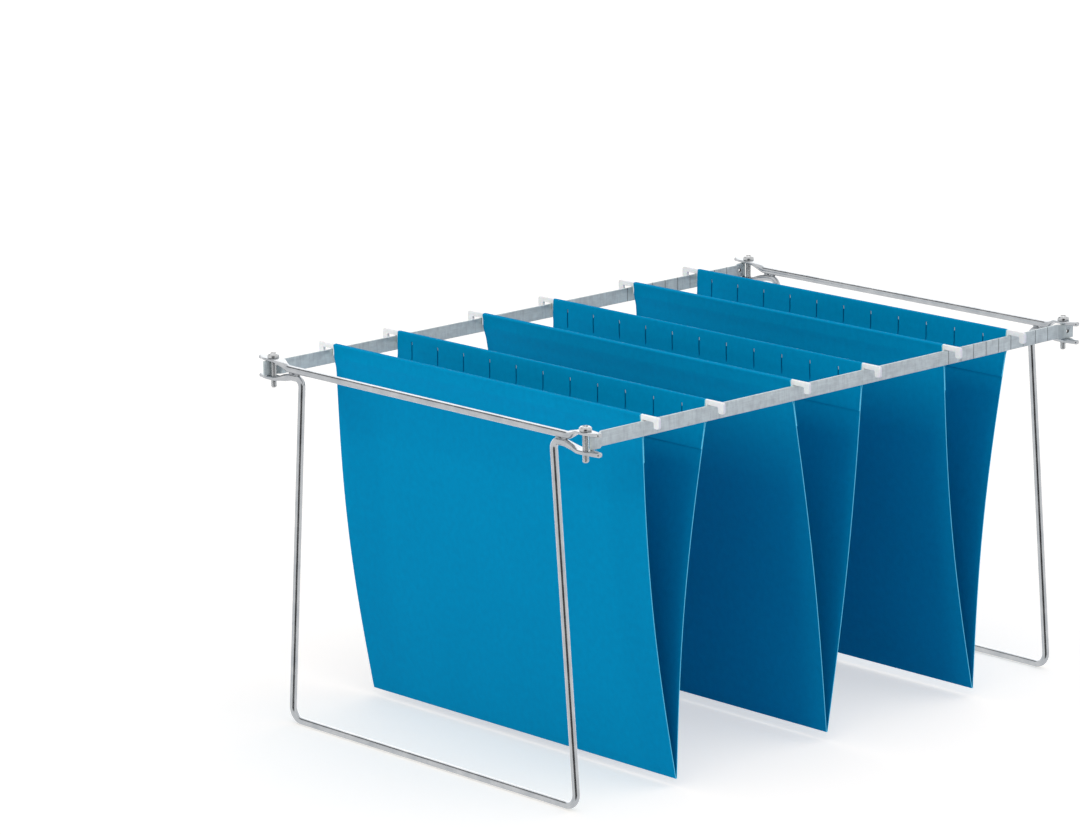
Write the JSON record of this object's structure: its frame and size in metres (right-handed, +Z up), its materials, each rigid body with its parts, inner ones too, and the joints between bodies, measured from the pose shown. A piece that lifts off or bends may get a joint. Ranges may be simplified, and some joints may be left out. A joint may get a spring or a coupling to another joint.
{
  "type": "hanging file rack",
  "caption": "Bolt-together wire and strip-steel rack that carries letter-size V-shaped hanging folders by hook-ended rods on its two side rails.",
  "frame": {"origin": "on the floor, at the centre of the overall bounding box's base", "axes": "+X along the rails from the front end frame to the rear (scored) one, +Y towards the left rail, +Z up"},
  "size_m": [0.4688, 0.332, 0.2573],
  "materials": {
    "zinc_wire": "bright zinc-plated round wire, smooth, with soft streaks along it",
    "rail_strip": "zinc-plated strip, fine grain along the rail, bright broken edges and cross-wise score lines",
    "screw_steel": "bright zinc-plated machine screw",
    "blue_card": "matt dyed card, lighter at its cut edges",
    "rod_steel": "cold-rolled flat rod",
    "white_tip": "white nylon coating, soft sheen"
  },
  "bodies": {
    "rack": {"left_rail": "rail_strip", "right_rail": "rail_strip", "front_crossbar": "zinc_wire", "rear_crossbar": "zinc_wire", "front_leg_frame": "zinc_wire", "rear_leg_frame": "zinc_wire", "front_left_screw": "screw_steel", "front_right_screw": "screw_steel", "rear_left_screw": "screw_steel", "rear_right_screw": "screw_steel"},
    "folder_1_front_rod": {"folder_1_front_rod": "rod_steel", "folder_1_front_left_tip": "white_tip", "folder_1_front_right_tip": "white_tip"},
    "folder_1_front_flap": {"folder_1_front_flap": "blue_card"},
    "folder_1_rear_rod": {"folder_1_rear_rod": "rod_steel", "folder_1_rear_left_tip": "white_tip", "folder_1_rear_right_tip": "white_tip"},
    "folder_1_rear_flap": {"folder_1_rear_flap": "blue_card"},
    "folder_2_front_rod": {"folder_2_front_rod": "rod_steel", "folder_2_front_left_tip": "white_tip", "folder_2_front_right_tip": "white_tip"},
    "folder_2_front_flap": {"folder_2_front_flap": "blue_card"},
    "folder_2_rear_rod": {"folder_2_rear_rod": "rod_steel", "folder_2_rear_left_tip": "white_tip", "folder_2_rear_right_tip": "white_tip"},
    "folder_2_rear_flap": {"folder_2_rear_flap": "blue_card"},
    "folder_3_front_rod": {"folder_3_front_rod": "rod_steel", "folder_3_front_left_tip": "white_tip", "folder_3_front_right_tip": "white_tip"},
    "folder_3_front_flap": {"folder_3_front_flap": "blue_card"},
    "folder_3_rear_rod": {"folder_3_rear_rod": "rod_steel", "folder_3_rear_left_tip": "white_tip", "folder_3_rear_right_tip": "white_tip"},
    "folder_3_rear_flap": {"folder_3_rear_flap": "blue_card"}
  },
  "joints": [
    {"name": "folder_1_slide", "type": "slide", "parent": "rack", "child": "folder_1_front_rod", "axis": [1, 0, 0], "range_m": [-0.042, 0.02]},
    {"name": "folder_1_open", "type": "hinge", "parent": "folder_1_front_rod", "child": "folder_1_front_flap", "pos_m": [-0.176, 0, 0.251], "axis": [0, -1, 0], "range_deg": [-6.2, 3.52]},
    {"name": "folder_1_crease", "type": "hinge", "parent": "folder_1_front_flap", "child": "folder_1_rear_flap", "pos_m": [-0.1469, 0, 0.00632], "axis": [0, 1, 0], "range_deg": [-12.4, 7.04]},
    {"name": "folder_1_spread", "type": "slide", "parent": "folder_1_front_rod", "child": "folder_1_rear_rod", "axis": [1, 0, 0], "range_m": [-0.05273, 0.02994]},
    {"name": "folder_2_slide", "type": "slide", "parent": "rack", "child": "folder_2_front_rod", "axis": [1, 0, 0], "range_m": [-0.02, 0.02]},
    {"name": "folder_2_open", "type": "hinge", "parent": "folder_2_front_rod", "child": "folder_2_front_flap", "pos_m": [-0.0383, 0, 0.251], "axis": [0, -1, 0], "range_deg": [-7.32, 3.53]},
    {"name": "folder_2_crease", "type": "hinge", "parent": "folder_2_front_flap", "child": "folder_2_rear_flap", "pos_m": [-0.0044, 0, 0.00694], "axis": [0, 1, 0], "range_deg": [-14.64, 7.06]},
    {"name": "folder_2_spread", "type": "slide", "parent": "folder_2_front_rod", "child": "folder_2_rear_rod", "axis": [1, 0, 0], "range_m": [-0.06206, 0.02993]},
    {"name": "folder_3_slide", "type": "slide", "parent": "rack", "child": "folder_3_front_rod", "axis": [1, 0, 0], "range_m": [-0.02, 0.014]},
    {"name": "folder_3_open", "type": "hinge", "parent": "folder_3_front_rod", "child": "folder_3_front_flap", "pos_m": [0.109, 0, 0.251], "axis": [0, -1, 0], "range_deg": [-6.99, 3.53]},
    {"name": "folder_3_crease", "type": "hinge", "parent": "folder_3_front_flap", "child": "folder_3_rear_flap", "pos_m": [0.1415, 0, 0.00675], "axis": [0, 1, 0], "range_deg": [-13.98, 7.06]},
    {"name": "folder_3_spread", "type": "slide", "parent": "folder_3_front_rod", "child": "folder_3_rear_rod", "axis": [1, 0, 0], "range_m": [-0.05932, 0.02996]}
  ],
  "couplings": [
    {"joint": "folder_1_crease", "follows": "folder_1_open", "ratio": 2},
    {"joint": "folder_1_spread", "follows": "folder_1_open", "m_per_rad": 0.48726},
    {"joint": "folder_2_crease", "follows": "folder_2_open", "ratio": 2},
    {"joint": "folder_2_spread", "follows": "folder_2_open", "m_per_rad": 0.48572},
    {"joint": "folder_3_crease", "follows": "folder_3_open", "ratio": 2},
    {"joint": "folder_3_spread", "follows": "folder_3_open", "m_per_rad": 0.48618}
  ]
}
